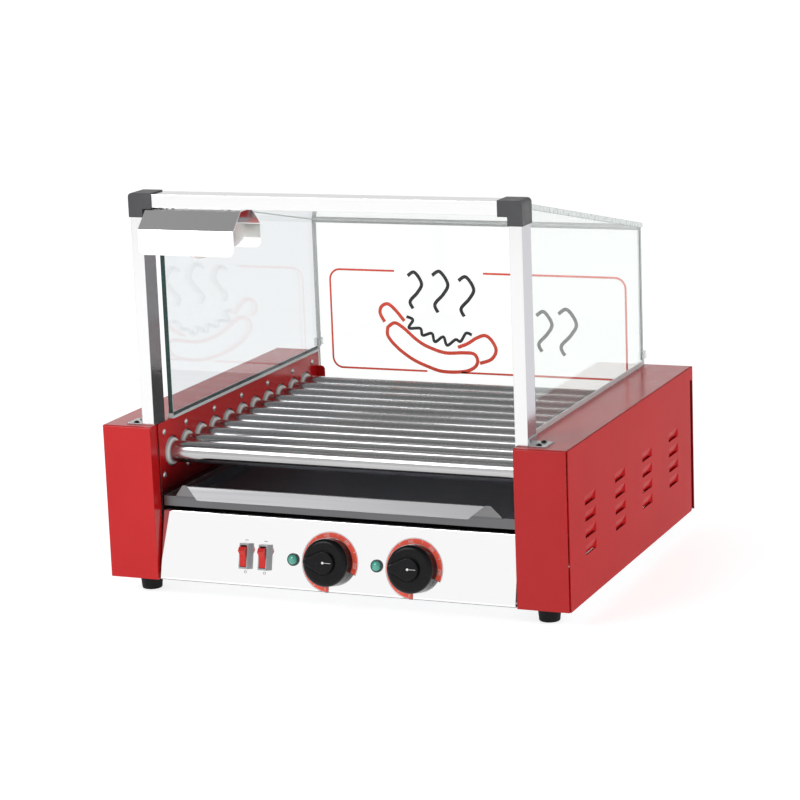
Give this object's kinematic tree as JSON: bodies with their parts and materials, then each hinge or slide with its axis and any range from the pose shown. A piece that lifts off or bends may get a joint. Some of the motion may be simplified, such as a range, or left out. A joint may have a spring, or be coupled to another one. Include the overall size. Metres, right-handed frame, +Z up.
{
  "type": "hot dog roller grill",
  "caption": "Countertop roller grill: heated rollers on a chain drive between two red side housings, drip tray, sloping control panel, glass guard and lamp.",
  "frame": {"origin": "on the worktop under the middle of the machine, level with the undersides of the rubber feet", "axes": "+X to the right of a person at the front, along the rollers; +Y from the control panel to the back; +Z up"},
  "size_m": [0.58, 0.5093, 0.4804],
  "materials": {
    "red_paint": "gloss red powder coat",
    "zinc_plate": "galvanised",
    "mirror_steel": "mirror-polished stainless steel",
    "brushed_steel": "brushed stainless steel",
    "roller_chrome": "polished stainless tube",
    "white_ptfe": "white PTFE",
    "rod_sheath": "oxidised heating-element sheath",
    "screw_steel": "nickel-plated",
    "chain_steel": "oiled steel",
    "motor_grey": "grey zinc alloy",
    "aluminium_tube": "satin anodised",
    "black_plastic": "black moulded",
    "grey_plastic": "light grey moulded",
    "dark_plastic": "dark moulded",
    "red_plastic": "translucent red key",
    "green_lens": "green lens",
    "clear_glass": "clear toughened",
    "clear_plastic": "clear moulded",
    "grey_seal": "translucent grey",
    "black_rubber": "black",
    "ceramic_white": "white glazed",
    "lamp_glass": "frosted"
  },
  "bodies": {
    "root": {"base_pan": "zinc_plate", "cable_gland": "black_plastic", "control_panel": "mirror_steel", "corner_connectors": "black_plastic", "drive_chain": "chain_steel", "electrics_cover": "zinc_plate", "gear_motor": "motor_grey", "glass_clips": "clear_plastic", "glass_seals": "grey_seal", "heating_rods": "rod_sheath", "housing_floors": "zinc_plate", "lamp_bulb": "lamp_glass", "lamp_holder": "ceramic_white", "lamp_shade": "mirror_steel", "left_bearing_plate": "zinc_plate", "left_element_bracket": "zinc_plate", "left_glass": "clear_glass", "left_housing": "red_paint", "left_inner_cover": "red_paint", "left_outer_cover": "red_paint", "left_post": "aluminium_tube", "m4_screws": "screw_steel", "motor_bracket": "zinc_plate", "pilot_bodies": "dark_plastic", "pilot_lenses": "green_lens", "post_brackets": "brushed_steel", "rear_glass": "clear_glass", "rear_panel": "brushed_steel", "right_bearing_plate": "zinc_plate", "right_element_bracket": "zinc_plate", "right_glass": "clear_glass", "right_housing": "red_paint", "right_inner_cover": "red_paint", "right_outer_cover": "red_paint", "right_post": "aluminium_tube", "roller_bushes": "white_ptfe", "rubber_feet": "black_rubber", "switch_bodies": "grey_plastic", "terminal_block": "ceramic_white", "thermostats": "black_plastic", "top_glass": "clear_glass", "top_rail": "aluminium_tube", "tray_runners": "zinc_plate"},
    "roller_01": {"roller_01": "roller_chrome"},
    "roller_02": {"roller_02": "roller_chrome"},
    "roller_03": {"roller_03": "roller_chrome"},
    "roller_04": {"roller_04": "roller_chrome"},
    "roller_05": {"roller_05": "roller_chrome"},
    "roller_06": {"roller_06": "roller_chrome"},
    "roller_07": {"roller_07": "roller_chrome"},
    "roller_08": {"roller_08": "roller_chrome"},
    "roller_09": {"roller_09": "roller_chrome"},
    "roller_10": {"roller_10": "roller_chrome"},
    "roller_11": {"roller_11": "roller_chrome"},
    "motor_sprocket": {"motor_sprocket": "chain_steel"},
    "drip_tray": {"drip_tray": "brushed_steel"},
    "left_temperature_knob": {"left_temperature_knob": "black_plastic"},
    "right_temperature_knob": {"right_temperature_knob": "black_plastic"},
    "left_rocker": {"left_rocker": "red_plastic"},
    "right_rocker": {"right_rocker": "red_plastic"}
  },
  "joints": [
    {"name": "roller_01_turn", "type": "hinge", "parent": "root", "child": "roller_01", "pos_m": [0, -0.1905, 0.166], "axis": [1, 0, 0], "continuous": true},
    {"name": "roller_02_turn", "type": "hinge", "parent": "root", "child": "roller_02", "pos_m": [0, -0.1524, 0.166], "axis": [1, 0, 0], "continuous": true},
    {"name": "roller_03_turn", "type": "hinge", "parent": "root", "child": "roller_03", "pos_m": [0, -0.1143, 0.166], "axis": [1, 0, 0], "continuous": true},
    {"name": "roller_04_turn", "type": "hinge", "parent": "root", "child": "roller_04", "pos_m": [0, -0.0762, 0.166], "axis": [1, 0, 0], "continuous": true},
    {"name": "roller_05_turn", "type": "hinge", "parent": "root", "child": "roller_05", "pos_m": [0, -0.0381, 0.166], "axis": [1, 0, 0], "continuous": true},
    {"name": "roller_06_turn", "type": "hinge", "parent": "root", "child": "roller_06", "pos_m": [0, 0, 0.166], "axis": [1, 0, 0], "continuous": true, "deforming": ["drive_chain"]},
    {"name": "roller_07_turn", "type": "hinge", "parent": "root", "child": "roller_07", "pos_m": [0, 0.0381, 0.166], "axis": [1, 0, 0], "continuous": true},
    {"name": "roller_08_turn", "type": "hinge", "parent": "root", "child": "roller_08", "pos_m": [0, 0.0762, 0.166], "axis": [1, 0, 0], "continuous": true},
    {"name": "roller_09_turn", "type": "hinge", "parent": "root", "child": "roller_09", "pos_m": [0, 0.1143, 0.166], "axis": [1, 0, 0], "continuous": true},
    {"name": "roller_10_turn", "type": "hinge", "parent": "root", "child": "roller_10", "pos_m": [0, 0.1524, 0.166], "axis": [1, 0, 0], "continuous": true},
    {"name": "roller_11_turn", "type": "hinge", "parent": "root", "child": "roller_11", "pos_m": [0, 0.1905, 0.166], "axis": [1, 0, 0], "continuous": true},
    {"name": "motor_sprocket_turn", "type": "hinge", "parent": "root", "child": "motor_sprocket", "pos_m": [0.243, 0, 0.0787], "axis": [1, 0, 0], "continuous": true},
    {"name": "drip_tray_slide", "type": "slide", "parent": "root", "child": "drip_tray", "axis": [0, -1, 0], "range_m": [0, 0.38]},
    {"name": "left_knob_turn", "type": "hinge", "parent": "root", "child": "left_temperature_knob", "pos_m": [-0.006, -0.2313, 0.05508], "axis": [0, -0.9744, 0.225], "range_deg": [-30, 270]},
    {"name": "right_knob_turn", "type": "hinge", "parent": "root", "child": "right_temperature_knob", "pos_m": [0.0993, -0.2313, 0.05508], "axis": [0, -0.9744, 0.225], "range_deg": [-30, 270]},
    {"name": "left_rocker_tilt", "type": "hinge", "parent": "root", "child": "left_rocker", "pos_m": [-0.1133, -0.23764, 0.05654], "axis": [1, 0, 0], "range_deg": [-24, 0]},
    {"name": "right_rocker_tilt", "type": "hinge", "parent": "root", "child": "right_rocker", "pos_m": [-0.0886, -0.23764, 0.05654], "axis": [1, 0, 0], "range_deg": [-24, 0]}
  ],
  "couplings": [
    {"joint": "roller_01_turn", "follows": "roller_06_turn", "ratio": 1},
    {"joint": "roller_02_turn", "follows": "roller_06_turn", "ratio": 1},
    {"joint": "roller_03_turn", "follows": "roller_06_turn", "ratio": 1},
    {"joint": "roller_04_turn", "follows": "roller_06_turn", "ratio": 1},
    {"joint": "roller_05_turn", "follows": "roller_06_turn", "ratio": 1},
    {"joint": "roller_07_turn", "follows": "roller_06_turn", "ratio": 1},
    {"joint": "roller_08_turn", "follows": "roller_06_turn", "ratio": 1},
    {"joint": "roller_09_turn", "follows": "roller_06_turn", "ratio": 1},
    {"joint": "roller_10_turn", "follows": "roller_06_turn", "ratio": 1},
    {"joint": "roller_11_turn", "follows": "roller_06_turn", "ratio": 1},
    {"joint": "motor_sprocket_turn", "follows": "roller_06_turn", "ratio": 1}
  ]
}
